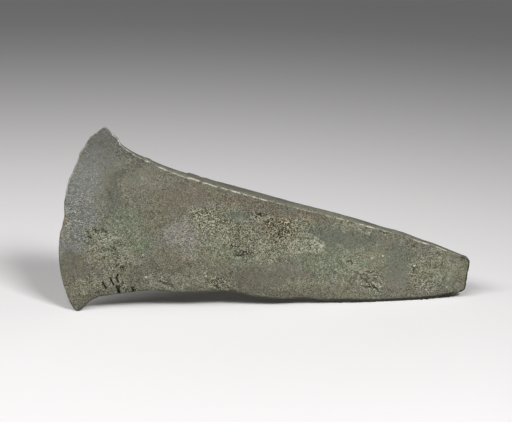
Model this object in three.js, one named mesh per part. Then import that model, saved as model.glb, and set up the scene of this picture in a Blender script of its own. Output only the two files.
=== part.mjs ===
// A flat bronze axe head of the early metal age, cast in one piece and hammered to shape.
// It has a splayed blade with a curved cutting edge, two broad faces that thicken towards
// the middle and taper straight to the butt, low flanges raised along both narrow sides, and
// a narrow squared butt. A cleft wooden haft once gripped its butt half.
//
// Millimetres. +Z is up and the axe stands on its lower narrow side: the lower blade tip and
// a worn flat near the butt touch the ground at z = 0. +X runs from the blade to the butt,
// and Y runs through the thickness. The origin is on the ground, under the middle of the box
// that the axe fills.
import * as THREE from "three";

// Driving dimensions, in millimetres. The overall length runs to the butt's upper corner
// before that corner is rounded.
const overallLength = 150;
const bladeHeight = 68.2;
const edgeThickness = 0.9;
const edgeRounding = 0.2;
const bevelLength = 14.5;
const bevelThickness = 2.5;
const stepLength = 5.5;
const shoulderThickness = 4;
const shoulderSoftness = 0.4;
const crestThickness = 8;
const crestSoftness = 1.2;
const buttThickness = 3.2;
const buttWidth = 11.8;
const buttBase = 2.9;
const buttCornerSetback = 1.5;
const flangeHeight = 0.4;
const flangeWidth = 2.4;

// How steeply the axe's own length slopes down towards the butt as it stands.
const axisTilt = THREE.MathUtils.degToRad(8.6);

// Where along the axe it is thickest, as a share of its length from the cutting edge.
const crestShare = 0.44;
// How far each narrow side bulges, as a share of half its thickness.
const sideBulgeShare = 0.13;
// The flanges rise over the first of these shares of the length and die out over the last.
const flangeRiseShare = 0.14;
const flangeFadeShare = 0.3;
// By this share of the length the thickness follows straight lines across the axe, and no
// longer the curve of the cutting edge. From there the two faces are flat.
const straightFromShare = 0.5;

// Outline points: shares of the overall length, from the blade's foremost point, and of the
// blade's height, from the ground. Each edge is a smooth curve through its points.
const cuttingEdgeShares = [
  [0.041, 0],
  [0.034, 0.013],
  [0.0255, 0.044],
  [0.0125, 0.128],
  [0.004, 0.21],
  [0, 0.31],
  [0.005, 0.45],
  [0.0125, 0.492],
  [0.0155, 0.585],
  [0.0225, 0.677],
  [0.0425, 0.816],
  [0.073, 0.925],
  [0.0925, 0.971],
  [0.118, 1],
];
const upperSideShares = [
  [0.118, 1],
  [0.126, 0.974],
  [0.151, 0.907],
  [0.177, 0.861],
  [0.213, 0.815],
  [0.295, 0.734],
  [0.44, 0.63],
  [0.562, 0.544],
  [0.709, 0.45],
  [0.857, 0.337],
  [0.909, 0.296],
  [0.956, 0.249],
];
const lowerSideShares = [
  [0.041, 0],
  [0.0495, 0.0005],
  [0.062, 0.034],
  [0.084, 0.07],
  [0.125, 0.091],
  [0.216, 0.11],
  [0.312, 0.094],
  [0.385, 0.101],
  [0.415, 0.098],
  [0.457, 0.07],
  [0.555, 0.038],
  [0.58, 0.044],
  [0.63, 0.026],
  [0.73, 0.004],
  [0.79, 0],
  [0.88, 0],
  [0.95, 0.015],
];

// The grid that each broad face is drawn with, and the rows across a narrow side.
const columns = 46;
const rows = 20;
const columnCrowding = 1.3;
const rowCrowding = 0.6;
const sideRowShares = [-1, -0.92, -0.6, 0, 0.6, 0.92, 1];

// Directions in the plane of the axe: along its length to the butt, and across it.
const along = new THREE.Vector3(Math.cos(axisTilt), 0, -Math.sin(axisTilt));
const across = new THREE.Vector3(Math.sin(axisTilt), 0, Math.cos(axisTilt));

function outlinePoint([lengthShare, heightShare]) {
  return new THREE.Vector3(lengthShare * overallLength, 0, heightShare * bladeHeight);
}

function smoothCurve(points) {
  const curve = new THREE.CatmullRomCurve3(points, false, "centripetal");
  curve.arcLengthDivisions = columns * rows;
  return curve;
}

function setBack(corner, towards) {
  const step = towards.clone().sub(corner).setLength(buttCornerSetback);
  return corner.clone().add(step);
}

// The butt's two corners before they are rounded.
const buttLower = new THREE.Vector3(overallLength, 0, buttBase);
buttLower.x -= buttWidth * Math.sin(axisTilt);
const buttUpper = buttLower.clone().addScaledVector(across, buttWidth);

// Each narrow side runs on from its outline points to the rounding of its butt corner.
const upperPoints = upperSideShares.map(outlinePoint);
const lowerPoints = lowerSideShares.map(outlinePoint);
const upperEnd = setBack(buttUpper, upperPoints.at(-1));
const lowerEnd = setBack(buttLower, lowerPoints.at(-1));
const upperSide = smoothCurve([...upperPoints, upperEnd]);
const lowerSide = smoothCurve([...lowerPoints, lowerEnd]);

// The rounded cutting edge stands out from its two arrises, which are set back to suit.
const edgePoints = cuttingEdgeShares.map(outlinePoint);
for (const point of edgePoints.slice(1, -1)) {
  point.x += edgeRounding;
}
const cuttingEdge = smoothCurve(edgePoints);

// The butt end: a straight line between its two rounded corners.
const faceLower = setBack(buttLower, buttUpper);
const faceUpper = setBack(buttUpper, buttLower);
const buttEnd = new THREE.CurvePath();
buttEnd.add(new THREE.QuadraticBezierCurve3(lowerEnd, buttLower, faceLower));
buttEnd.add(new THREE.LineCurve3(faceLower, faceUpper));
buttEnd.add(new THREE.QuadraticBezierCurve3(faceUpper, buttUpper, upperEnd));

// A point of the broad face's plan. u runs from the cutting edge to the butt and v from the
// lower side to the upper one: the four edges are blended as a Coons patch.
function planPoint(u, v) {
  const corners = new THREE.Vector3()
    .addScaledVector(cuttingEdge.getPointAt(0), (1 - u) * (1 - v))
    .addScaledVector(cuttingEdge.getPointAt(1), (1 - u) * v)
    .addScaledVector(buttEnd.getPoint(0), u * (1 - v))
    .addScaledVector(buttEnd.getPoint(1), u * v);
  return new THREE.Vector3()
    .addScaledVector(cuttingEdge.getPointAt(v), 1 - u)
    .addScaledVector(buttEnd.getPoint(v), u)
    .addScaledVector(lowerSide.getPointAt(u), 1 - v)
    .addScaledVector(upperSide.getPointAt(u), v)
    .sub(corners);
}

// The smaller or the larger of two thicknesses, with the crease between them rounded off.
function smoothMin(a, b, softness) {
  const near = Math.max(softness - Math.abs(a - b), 0) / softness;
  return Math.min(a, b) - (near * near * softness) / 4;
}

function smoothMax(a, b, softness) {
  return -smoothMin(-a, -b, softness);
}

// The thickness follows straight lines over the distance from the cutting edge. A thin
// hammered blade ends in a step, the body rises from there to the crest, and a straight
// taper to the butt leaves the faces flat where a haft grips.
const edgeMiddle = cuttingEdge.getPointAt(0.5);
const axisLength = buttUpper.clone().sub(edgeMiddle).dot(along);
const shoulderDistance = bevelLength + stepLength;
const crestDistance = crestShare * axisLength;
const crestBeforeSoftening = crestThickness + crestSoftness / 4;

// The line through two points, each a distance and a thickness.
function lineThrough([distanceA, thicknessA], [distanceB, thicknessB]) {
  const slope = (thicknessB - thicknessA) / (distanceB - distanceA);
  return (distance) => thicknessA + slope * (distance - distanceA);
}

const edgePlace = [0, edgeThickness];
const bevelPlace = [bevelLength, bevelThickness];
const shoulderPlace = [shoulderDistance, shoulderThickness];
const crestPlace = [crestDistance, crestBeforeSoftening];
const buttPlace = [axisLength, buttThickness];
const bevel = lineThrough(edgePlace, bevelPlace);
const step = lineThrough(bevelPlace, shoulderPlace);
const rise = lineThrough(shoulderPlace, crestPlace);
const taper = lineThrough(crestPlace, buttPlace);

function thicknessAt(distance) {
  const blade = smoothMax(bevel(distance), step(distance), shoulderSoftness);
  const front = smoothMin(blade, rise(distance), shoulderSoftness);
  return smoothMin(front, taper(distance), crestSoftness);
}

// How far the flange stands above the face, by distance from the cutting edge and from the side.
function flangeAt(distance, fromSide) {
  const share = distance / axisLength;
  const rise = THREE.MathUtils.smoothstep(share, 0, flangeRiseShare);
  const fade = 1 - THREE.MathUtils.smoothstep(share, 1 - flangeFadeShare, 1);
  return flangeHeight * rise * fade * Math.exp(-((fromSide / flangeWidth) ** 2));
}

function halfThickness(point, u, v) {
  const straight = point.clone().sub(edgeMiddle).dot(along);
  const straightness = THREE.MathUtils.smoothstep(u, 0, straightFromShare);
  const distance = THREE.MathUtils.lerp(u * axisLength, straight, straightness);
  const width = lowerSide.getPointAt(u).distanceTo(upperSide.getPointAt(u));
  const fromSide = Math.min(v, 1 - v) * width;
  return thicknessAt(distance) / 2 + flangeAt(distance, fromSide);
}

// Columns lie closer together towards the cutting edge, and rows towards both narrow sides.
function crowdedColumn(i) {
  return Math.pow(i / columns, columnCrowding);
}

function crowdedRow(j) {
  const turn = 2 * Math.PI * (j / rows);
  return (turn - rowCrowding * Math.sin(turn)) / (2 * Math.PI);
}

// The broad face as a grid of places, each with its plan point and its half thickness.
// Nothing reaches below the ground, where the axe is worn flat.
function faceGrid() {
  const grid = [];
  for (let i = 0; i <= columns; i++) {
    const u = crowdedColumn(i);
    const column = [];
    for (let j = 0; j <= rows; j++) {
      const v = crowdedRow(j);
      const point = planPoint(u, v);
      point.z = Math.max(point.z, 0);
      column.push({ point, half: halfThickness(point, u, v), i, j });
    }
    grid.push(column);
  }
  return grid;
}

// The grid's rim as one loop: along the lower side, up the butt, back along the upper side
// and down the cutting edge.
function rimOf(grid) {
  const rim = [];
  for (let i = 0; i < columns; i++) {
    rim.push(grid[i][0]);
  }
  for (let j = 0; j < rows; j++) {
    rim.push(grid[columns][j]);
  }
  for (let i = columns; i > 0; i--) {
    rim.push(grid[i][rows]);
  }
  for (let j = rows; j > 0; j--) {
    rim.push(grid[0][j]);
  }
  return rim;
}

// How far the middle of the rim stands out from its two arrises: round along the narrow
// sides and the cutting edge, and flat across the butt end.
function bulgeAt(place) {
  if (place.i === columns) return 0;
  if (place.i === 0) return edgeRounding;
  return sideBulgeShare * place.half;
}

function axeHeadGeometry() {
  const grid = faceGrid();
  const rim = rimOf(grid);
  const innerShares = sideRowShares.slice(1, -1);
  const lastRow = sideRowShares.length - 1;
  const perFace = (columns + 1) * (rows + 1);
  const positions = [];
  const triangles = [];

  // The face at -Y, and then the face at +Y with its triangles turned over.
  for (const side of [-1, 1]) {
    for (const { point, half } of grid.flat()) {
      positions.push(point.x, side * half, point.z);
    }
  }
  const frontIndex = (i, j) => i * (rows + 1) + j;
  const backIndex = (i, j) => perFace + frontIndex(i, j);
  for (let i = 0; i < columns; i++) {
    for (let j = 0; j < rows; j++) {
      const cell = [[i, j], [i + 1, j], [i + 1, j + 1], [i, j + 1]];
      const [a, b, c, d] = cell.map(([m, n]) => frontIndex(m, n));
      triangles.push(a, b, c, a, c, d);
      const [e, f, g, h] = cell.map(([m, n]) => backIndex(m, n));
      triangles.push(e, g, f, e, h, g);
    }
  }

  // The narrow band round the rim, worn flat on the ground as the faces are.
  rim.forEach((place, n) => {
    const before = rim[(n + rim.length - 1) % rim.length].point;
    const after = rim[(n + 1) % rim.length].point;
    const tangent = after.clone().sub(before).normalize();
    for (const share of innerShares) {
      const out = bulgeAt(place) * Math.sqrt(1 - share * share);
      const x = place.point.x + tangent.z * out;
      const z = place.point.z - tangent.x * out;
      positions.push(x, share * place.half, Math.max(z, 0));
    }
  });
  const bandIndex = (n, row) => {
    const at = n % rim.length;
    const { i, j } = rim[at];
    if (row === 0) return frontIndex(i, j);
    if (row === lastRow) return backIndex(i, j);
    return 2 * perFace + at * innerShares.length + row - 1;
  };
  for (let n = 0; n < rim.length; n++) {
    for (let row = 0; row < lastRow; row++) {
      const [a, b] = [bandIndex(n, row), bandIndex(n, row + 1)];
      const [c, d] = [bandIndex(n + 1, row + 1), bandIndex(n + 1, row)];
      triangles.push(a, b, c, a, c, d);
    }
  }

  const geometry = new THREE.BufferGeometry();
  geometry.setAttribute("position", new THREE.Float32BufferAttribute(positions, 3));
  geometry.setIndex(triangles);
  geometry.computeVertexNormals();
  geometry.computeBoundingBox();
  return geometry;
}

const patinatedBronze = new THREE.MeshStandardMaterial({
  color: 0x7b786b,
  roughness: 0.62,
  metalness: 0.35,
});

const axeHead = new THREE.Mesh(axeHeadGeometry(), patinatedBronze);
axeHead.name = "axe_head";
const middle = axeHead.geometry.boundingBox.getCenter(new THREE.Vector3());
axeHead.position.x = -middle.x;

const model = new THREE.Group();
model.add(axeHead);

export default model;
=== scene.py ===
# Looks of an ancient bronze axe head: a pitted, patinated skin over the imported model, standing
# on a pale studio floor. Lengths are in metres, in the model's own frame: +Z is up, +X runs
# from the cutting edge to the butt, and the face at -Y is the one that the camera sees.
import math
from types import SimpleNamespace

import bmesh
import bpy
import numpy as np
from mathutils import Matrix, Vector, kdtree, noise
from mathutils.bvhtree import BVHTree


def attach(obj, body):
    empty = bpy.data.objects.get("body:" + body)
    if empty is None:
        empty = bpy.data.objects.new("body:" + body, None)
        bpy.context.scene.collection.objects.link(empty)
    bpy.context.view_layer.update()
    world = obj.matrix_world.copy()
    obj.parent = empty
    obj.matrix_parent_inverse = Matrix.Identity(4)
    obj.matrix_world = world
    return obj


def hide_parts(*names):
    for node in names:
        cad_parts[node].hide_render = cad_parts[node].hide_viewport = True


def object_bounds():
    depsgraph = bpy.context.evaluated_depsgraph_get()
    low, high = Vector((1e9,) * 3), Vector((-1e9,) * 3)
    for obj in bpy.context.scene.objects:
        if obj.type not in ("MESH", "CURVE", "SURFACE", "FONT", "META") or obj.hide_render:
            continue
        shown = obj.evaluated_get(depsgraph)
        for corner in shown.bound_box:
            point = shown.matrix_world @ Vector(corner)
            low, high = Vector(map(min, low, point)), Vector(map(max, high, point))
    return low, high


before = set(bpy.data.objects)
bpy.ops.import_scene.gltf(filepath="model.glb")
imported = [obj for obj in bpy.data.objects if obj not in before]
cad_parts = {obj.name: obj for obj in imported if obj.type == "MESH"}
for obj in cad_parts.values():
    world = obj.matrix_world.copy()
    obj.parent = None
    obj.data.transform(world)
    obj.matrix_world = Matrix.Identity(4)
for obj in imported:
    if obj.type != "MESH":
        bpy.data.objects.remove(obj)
cad_low, cad_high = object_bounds()
cad_size = cad_high - cad_low

MM = 0.001

# The photograph's frame in pixels, and the camera that it was taken with.
IMAGE_WIDTH = 512
IMAGE_HEIGHT = 422
CAMERA_AZIMUTH = math.radians(-6.87)
CAMERA_ELEVATION = math.radians(16)
CAMERA_DISTANCE = 900 * MM
LENS_MM = 175.8
SENSOR_MM = 36
AIM_SHARES = (0.4756, 0.5, 0.5158)

# The skin's mesh: its finest and its plainest edge length, and how sharp an arris stays.
WELD = 0.001 * MM
FINE_STEP = 0.3 * MM
PLAIN_STEP = 0.62 * MM
DICING_ROUNDS = 7
SMOOTHING_LEVELS = 1
ARRIS_ANGLE = math.radians(30)
JOIN_ANGLE = math.radians(25)
# An arris this close to the middle plane belongs to the cutting edge.
CUTTING_EDGE_HALF = 0.6 * MM
ARRIS_SAMPLE = 0.25 * MM

# Relief, as heights over the smooth surface and as the size of its lumps.
SWELL_SIZE = 26 * MM
SWELL_HEIGHT = 0.16 * MM
HAMMER_SIZE = 8 * MM
HAMMER_HEIGHT = 0.07 * MM
LEDGE_SIZE = 11 * MM
LEDGE_HEIGHT = 0.06 * MM
CRUST_SIZE = 0.7 * MM
CRUST_PIT_DEPTH = 0.16 * MM
CRUST_GRAIN_HEIGHT = 0.07 * MM
CRUST_STRETCH = (1.4, 1, 1)
CREVICE_SIZE = 2.4 * MM
CREVICE_DEPTH = 0.2 * MM
CREVICE_STRETCH = (1.5, 1, 1)
POCK_SIZE = 1.2 * MM
POCK_DEPTH = 0.09 * MM
CRACK_HALF_WIDTH = 0.36 * MM
CRACK_DEPTH = 0.55 * MM
TEAR_SIZE = 0.9 * MM
TEAR_SHARE = 0.7
NICK_SIZE = 2.2 * MM
NICK_DEPTH = 0.2 * MM
LOW_NICK_DEPTH = 0.38 * MM
BURR_SIZE = 3.4 * MM
BURR_HEIGHT = 0.16 * MM
ARRIS_REACH = 0.5 * MM
# The lower arrises are worn round, with painted shade along them, widest beside the foot near the
# butt.
LOW_ARRIS_TOP = 10 * MM
BUTT_REACH = 3.5 * MM
ROUNDED_REACH = 1.4 * MM
ROUNDED_DEPTH = 0.22 * MM
FOOT_LINE_START = 18 * MM
FOOT_LINE_FULL = 30 * MM
BUTT_LINE = 0.6 * MM
THIN_LINE = 0.45 * MM
FOOT_LINE = 1.25 * MM
# Borders of marks wander by this much, in waves of this size.
WARP_SIZE = 5 * MM
WARP_REACH = 2.4 * MM

# From which value of its noise each kind of mark starts, and at which one it is full.
PIT_RANGE = (0.15, 0.5)
LUMP_RANGE = (0.1, 0.5)
CREVICE_RANGE = (0.09, 0.02)
BREAK_RANGE = (0, 0.3)
POCK_RANGE = (0.4, 0.7)
LEDGE_RANGE = (-0.05, 0.05)
NICK_RANGE = (0.05, 0.6)
BURR_RANGE = (0.3, 0.7)
# How crusted the skin has to be for crevices.
CREVICED_CRUST = (0.45, 0.9)
# How much of the depth of each is left at the thin cutting edge.
EDGE_PIT_SHARE = 0.4
EDGE_CRACK_SHARE = 0.5
EDGE_POCK_SHARE = 0.35
# How far a normal leans before its point counts as the face, or as the upper narrow side.
FACE_LEAN = (0.35, 0.75)
UPPER_LEAN = (0, 0.3)

# One seed for each noise of the relief.
WARP_SEED = 1
CRUST_SEED = 8
POCK_SEED = 9
LEDGE_SEED = 10
NICK_SEED = 11
SWELL_SEED = 12
HAMMER_SEED = 13
BORDER_SEED = 16
CREVICE_SEED = 17
BREAK_SEED = 18
BURR_SEED = 19
TEAR_SEED = 20
# How far one seed moves a noise, and how its finer octaves fade and shrink.
SEED_SHIFT = np.array((17.3, 5.9, 11.1))
OCTAVE_FADE = 1
OCTAVE_SHRINK = 2

# Patches strewn over the sides that the photograph doesn't show: how strong they are, their
# size, their seed, from which value of their noise they start, and its octaves.
WILD_CRUST = (0.7, 9 * MM, 2, 0.08, 4)
WILD_GREEN = (0.7, 22 * MM, 3, 0.1, 4)
WILD_BROWN = (0.7, 20 * MM, 4, 0.05, 4)
WILD_SLATE = (0.7, 14 * MM, 5, 0.15, 4)
WILD_PALE = (0.5, 11 * MM, 6, 0.2, 4)
WILD_OCHRE = (0.4, 9 * MM, 7, 0.45, 4)
# Wear along the arrises, in the same terms: on the unseen ones, and on the near upper one.
RUBS = (0.3, 7 * MM, 14, 0.1, 3)
SCUFFS = (0.5, 3 * MM, 15, -0.1, 3)
# How much higher the noise is where a strewn patch is full.
PATCH_RISE = 0.35

# Where the hammered blade ends, measured back from the cutting edge, and how low its grey goes.
BLADE_REACH = 11.5 * MM
BLADE_FADE = 4 * MM
BLADE_LOWEST = 17 * MM
BLADE_FULL = 27 * MM
# The band behind the blade, where its bevel steps up, is painted dark as painted shade. It is
# measured in the same way.
STEP_MIDDLE = 16.5 * MM
STEP_REACH = 4 * MM
STEP_LOWEST = 30 * MM
STEP_FULL = 42 * MM
# The upper tip of the blade is as dark as that band.
TIP_LOWEST = 53 * MM
TIP_FULL = 62 * MM
# How far up from the lower arris the face is darkened, how much of that darkening is lost beside
# the foot, and how much its border wanders.
LOW_REACH = 9 * MM
FOOT_DARKENING_LOSS = 0.6
DARKENING_WARP_SHARE = 0.6

# How rough the plain face is, how much of the crust a calm spot takes away, and how much of it
# the narrow sides have.
PLAIN_ROUGHNESS = 0.45
CALM_LOSS = 0.6
SIDE_CRUST_SHARE = 0.35
# How dark the pits of the crust, the crevices and the pocks are painted: their dark corrosion with
# painted shade in the hollows.
CRUST_PIT_SHARE = 0.4
CREVICE_SHARE = 0.5
POCK_SHARE = 0.4
# How pale the rims of cracks are, and how far out they reach.
CRACK_RIM_SHARE = 0.6
CRACK_RIM_REACH = 3 * CRACK_HALF_WIDTH
# How much the sides that the photograph doesn't show glitter.
UNSEEN_SPECKS = 0.5
# How dark the lines along the arrises are (the one along the lower arris is painted shade), how
# much fainter they are on a narrow side, and where each starts and is full, as shares of its reach.
BUTT_LINE_SHARE = 0.95
THIN_LINE_SHARE = 0.6
FOOT_LINE_SHARE = 0.9
BUTT_LINE_SIDE_LOSS = 0.5
LOW_LINE_SIDE_LOSS = 0.3
BUTT_LINE_RIM_SHARES = (1.1, 0.7)
LOW_LINE_RIM_SHARES = (1.15, 0.75)
# Where wear and its painted highlight start and are full, as shares of the arris's reach.
WEAR_GLINT_RIM_SHARES = (0.8, 0.1)
# Where a marked spot and a groove start and are full, as shares of their reach.
SPOT_RIM_SHARES = (1.4, 0.4)
GROOVE_RIM_SHARES = (1.6, 0.3)

# Marks on the near face, read off the photograph. Each spot is its middle in pixels, how far
# it reaches across and up in pixels, and how strong it is.
GREEN_SPOTS = [
    (124, 222, 20, 18, 0.7),
    (112, 246, 14, 10, 0.6),
    (141, 244, 13, 9, 0.9),
    (334, 262, 36, 18, 0.65),
    (312, 262, 16, 12, 0.6),
    (362, 262, 14, 10, 0.5),
    (238, 256, 14, 10, 0.6),
    (216, 240, 14, 12, 0.4),
    (392, 262, 14, 10, 0.4),
    (444, 284, 12, 6, 0.5),
]
BROWN_SPOTS = [
    (182, 197, 32, 16, 0.95),
    (150, 214, 14, 10, 0.5),
    (232, 202, 22, 9, 0.8),
    (262, 208, 22, 9, 0.9),
    (280, 226, 22, 14, 0.9),
    (266, 222, 20, 12, 1.1),
    (300, 216, 24, 8, 0.8),
    (292, 242, 12, 8, 0.5),
    (174, 264, 26, 14, 0.5),
    (236, 284, 26, 7, 0.5),
    (340, 290, 44, 7, 0.5),
    (92, 262, 16, 10, 0.7),
    (76, 282, 12, 5, 0.9),
    (74, 294, 9, 9, 0.8),
    (395, 240, 18, 5, 0.4),
    (380, 264, 12, 14, 0.3),
    (432, 268, 14, 10, 0.4),
    (128, 190, 12, 10, 0.3),
]
LAVENDER_SPOTS = [
    (180, 235, 19, 14, 1.2),
    (186, 252, 10, 8, 0.6),
    (256, 262, 10, 7, 0.4),
    (296, 266, 10, 7, 0.4),
    (136, 262, 12, 8, 0.4),
    (78, 200, 10, 14, 0.5),
    (432, 287, 12, 5, 0.5),
]
SLATE_SPOTS = [
    (239, 218, 15, 7, 1.2),
    (330, 236, 20, 12, 1.0),
    (346, 242, 26, 14, 0.7),
    (316, 230, 12, 6, 0.7),
    (368, 240, 16, 12, 0.65),
    (398, 254, 12, 12, 0.6),
    (288, 258, 8, 8, 0.4),
    (150, 240, 12, 10, 0.3),
    (106, 206, 8, 10, 0.5),
    (146, 256, 12, 10, 0.4),
    (212, 268, 14, 8, 0.3),
    (394, 272, 12, 16, 0.45),
]
PALE_SPOTS = [
    (306, 248, 19, 9, 1.4),
    (370, 256, 16, 6, 0.2),
    (298, 244, 8, 4, 0.6),
    (207, 222, 14, 10, 0.8),
    (222, 236, 14, 10, 0.6),
    (214, 224, 26, 18, 0.2),
    (256, 236, 5, 5, 0.7),
    (264, 246, 6, 5, 0.8),
    (270, 256, 6, 5, 0.6),
    (107, 240, 14, 5, 0.6),
    (112, 262, 22, 14, 0.15),
    (160, 289, 24, 3, 0.5),
    (370, 283, 15, 11, 0.55),
    (284, 232, 20, 12, 0.55),
    (436, 266, 34, 24, 0.3),
    (335, 288, 34, 8, 0.3),
    (178, 236, 14, 12, 0.25),
    (352, 262, 40, 18, 0.35),
    (330, 288, 44, 10, 0.35),
    (122, 190, 10, 8, 0.25),
    (148, 184, 10, 6, 0.25),
    (404, 240, 18, 5, 0.3),
    (365, 228, 34, 4, 0.6),
    (345, 222, 16, 3, 0.5),
    (136, 236, 8, 6, 0.2),
]
OCHRE_SPOTS = [
    (80, 261, 7, 3, 1.0),
    (64, 219, 3, 9, 0.9),
    (62, 233, 3, 7, 0.7),
    (156, 221, 12, 6, 0.2),
    (236, 203, 10, 5, 0.4),
    (280, 230, 20, 11, 0.85),
    (300, 219, 18, 6, 0.4),
    (262, 217, 12, 5, 0.4),
    (182, 258, 4, 3, 0.6),
    (97, 255, 6, 4, 0.5),
]
# How rough the face is: it is raised in the first spots, and lowered again in the second ones.
CRUST_SPOTS = [
    (108, 246, 28, 18, 0.6),
    (114, 264, 26, 16, 0.6),
    (97, 233, 13, 4, 0.8),
    (110, 247, 10, 5, 0.6),
    (122, 267, 7, 6, 0.9),
    (126, 287, 12, 5, 1.0),
    (120, 226, 16, 10, 0.35),
    (214, 222, 30, 22, 0.7),
    (240, 238, 26, 22, 0.65),
    (250, 218, 30, 10, 0.6),
    (262, 217, 12, 5, 0.85),
    (280, 230, 24, 12, 0.85),
    (232, 242, 6, 9, 0.9),
    (272, 240, 44, 22, 0.6),
    (242, 252, 11, 6, 1.15),
    (264, 252, 44, 12, 0.6),
    (306, 247, 22, 11, 0.65),
    (210, 250, 30, 16, 0.5),
    (218, 282, 17, 10, 0.75),
    (162, 285, 24, 5, 0.6),
    (369, 282, 15, 12, 0.65),
    (365, 228, 34, 3, 0.6),
    (415, 272, 8, 9, 0.8),
    (428, 284, 18, 10, 0.6),
    (430, 262, 14, 10, 0.55),
    (398, 233, 24, 5, 0.5),
    (350, 262, 6, 4, 0.5),
    (392, 234, 18, 4, 0.6),
    (345, 222, 20, 4, 0.5),
    (80, 291, 14, 10, 0.5),
    (104, 282, 22, 12, 0.6),
    (300, 226, 18, 10, 0.6),
    (180, 280, 40, 10, 0.5),
    (300, 284, 40, 8, 0.5),
    (66, 222, 5, 20, 0.5),
]
CALM_SPOTS = [
    (70, 262, 12, 18, 0.8),
    (88, 275, 16, 7, 0.7),
    (100, 150, 18, 22, 1.0),
    (107, 180, 12, 28, 1.0),
    (88, 178, 14, 30, 0.8),
    (140, 178, 26, 14, 0.7),
    (184, 197, 30, 14, 0.7),
    (340, 240, 24, 13, 0.8),
    (384, 252, 20, 16, 0.6),
    (330, 288, 30, 7, 0.3),
    (272, 275, 32, 12, 0.6),
    (396, 274, 13, 18, 0.8),
    (452, 268, 12, 16, 0.5),
    (239, 218, 12, 6, 0.9),
]
# Where the blade glitters with fine specks.
SPECK_SPOTS = [
    (95, 188, 18, 20, 0.6),
    (82, 212, 16, 22, 1.0),
    (78, 238, 12, 12, 0.7),
]
# Where the face is as dark as along its lower arris.
DARK_SPOTS = [
    (72, 266, 16, 17, 1.05),
    (84, 274, 20, 9, 0.9),
    # These two spots lie on the step behind the blade and are painted shade.
    (107, 178, 9, 26, 0.4),
    (112, 145, 10, 12, 0.3),
    (156, 275, 36, 11, 1.0),
    (250, 278, 50, 12, 0.75),
    (318, 222, 12, 5, 0.4),
]
# Cracks and scratches, each a run of pixels and how deep it is as a share.
CRACKS = [
    ([(102.9, 282.7), (105.9, 288.4)], 0.9),
    ([(110.1, 278.5), (113.9, 285)], 0.95),
    ([(117.6, 274.5), (116.4, 278.2), (118.3, 282.4)], 0.9),
    ([(116.6, 286.1), (118.4, 291.8)], 1.1),
    ([(118.6, 287), (119, 292.4)], 1.0),
    ([(131.9, 287.9), (134.5, 291.6)], 1.0),
    ([(88, 236.6), (91.5, 238)], 0.7),
    ([(96, 231.5), (100, 230.6)], 0.6),
    ([(103.5, 231), (106, 232.2)], 0.6),
    ([(109, 244.8), (114.7, 250.1)], 0.5),
    ([(131.9, 286.9), (134.2, 289.2), (133.1, 291.8)], 0.5),
    ([(87.5, 232.2), (89.5, 234.5), (92.1, 236.4)], 0.5),
    ([(95.6, 232.5), (99, 231.4)], 0.5),
    ([(99, 228.3), (106, 230.2)], 0.4),
    ([(120.4, 265.8), (125.8, 270)], 0.4),
    ([(96, 292.6), (104, 291.8)], 0.4),
    ([(159.5, 281), (164, 283.4), (173.2, 285.3)], 0.6),
    ([(216, 286.3), (221, 290.6)], 0.5),
    ([(221, 277.5), (227, 274.8), (232.5, 272.4)], 0.3),
    ([(256.5, 213.2), (261, 214.6)], 0.4),
    ([(264, 222), (268.5, 223.4)], 0.5),
    ([(273.5, 225.3), (276.6, 226.9)], 0.5),
    ([(277, 234), (282, 231), (286, 229.8), (290, 233.2)], 0.5),
    ([(300, 238.5), (309.2, 239.1), (315.1, 239.4), (321, 243.2)], 0.4),
    ([(236, 255.5), (240, 256.5), (246, 252)], 0.65),
    ([(346.9, 261.6), (348.4, 261.9), (350.6, 260.9), (352.3, 263.2), (352.1, 264.6)], 0.7),
    ([(352.5, 270.4), (358, 273.8)], 0.4),
    ([(361, 276), (367, 274.6)], 0.4),
    ([(375, 275), (382.6, 277.3)], 0.4),
    ([(363, 280.6), (369, 283)], 0.4),
    ([(373.6, 285.4), (375, 287.6), (377.2, 288.4), (378.4, 291.2), (380, 292)], 0.75),
    ([(371.6, 291), (374, 293)], 0.4),
    ([(357.5, 272.5), (361, 275.4), (364.2, 274.6), (367.6, 277)], 0.45),
    ([(366, 271.5), (370.4, 273), (374, 271.6)], 0.55),
    ([(362, 279), (366.2, 279.4), (369.4, 282.2), (372.6, 281)], 0.5),
    ([(375.4, 279.6), (379, 281.8), (381.6, 285)], 0.5),
    ([(370, 286.4), (372.2, 289)], 0.5),
    ([(364, 286), (367.4, 288.2)], 0.55),
    ([(381.1, 232.1), (387, 234.3)], 0.4),
    ([(412, 246.4), (416, 247.6)], 0.5),
    ([(411, 267), (415, 269), (417, 272.8)], 0.4),
    ([(433, 268.4), (436, 268.6)], 0.5),
    ([(437, 252), (440, 256)], 0.4),
    ([(412, 294), (417, 294.2)], 0.4),
]
# Runs of the near upper arris that are worn to pale metal and painted with a highlight where it
# catches the light, as pixels at their two ends, and how bright each run is.
WORN_GLINTING_RUNS = [
    ((110, 133), (113, 136), 0.9),
    ((115, 139), (120, 143), 1.0),
    ((126, 149), (129, 151), 0.7),
    ((132, 153), (135, 155), 0.9),
    ((145, 159), (149, 161), 0.9),
    ((158, 166), (167, 169), 0.6),
    ((174, 173), (186, 177), 0.5),
    ((187, 177), (199, 180), 0.8),
    ((203, 182), (217, 186), 0.8),
    ((221, 187), (227, 189), 0.9),
    ((232, 190), (240, 193), 1.0),
    ((243, 194), (248, 195), 0.6),
    ((252, 197), (258, 198), 0.8),
    ((260, 199), (267, 201), 1.0),
    ((326, 216), (331, 218), 0.7),
    ((337, 219), (344, 221), 0.5),
    ((359, 224), (374, 228), 0.8),
    ((414, 240), (421, 242), 0.6),
    ((422, 242), (429, 245), 1.0),
    ((436, 248), (446, 252), 0.8),
]
WORN_GLINT_RUN_FADE = 0.7 * MM
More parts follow.
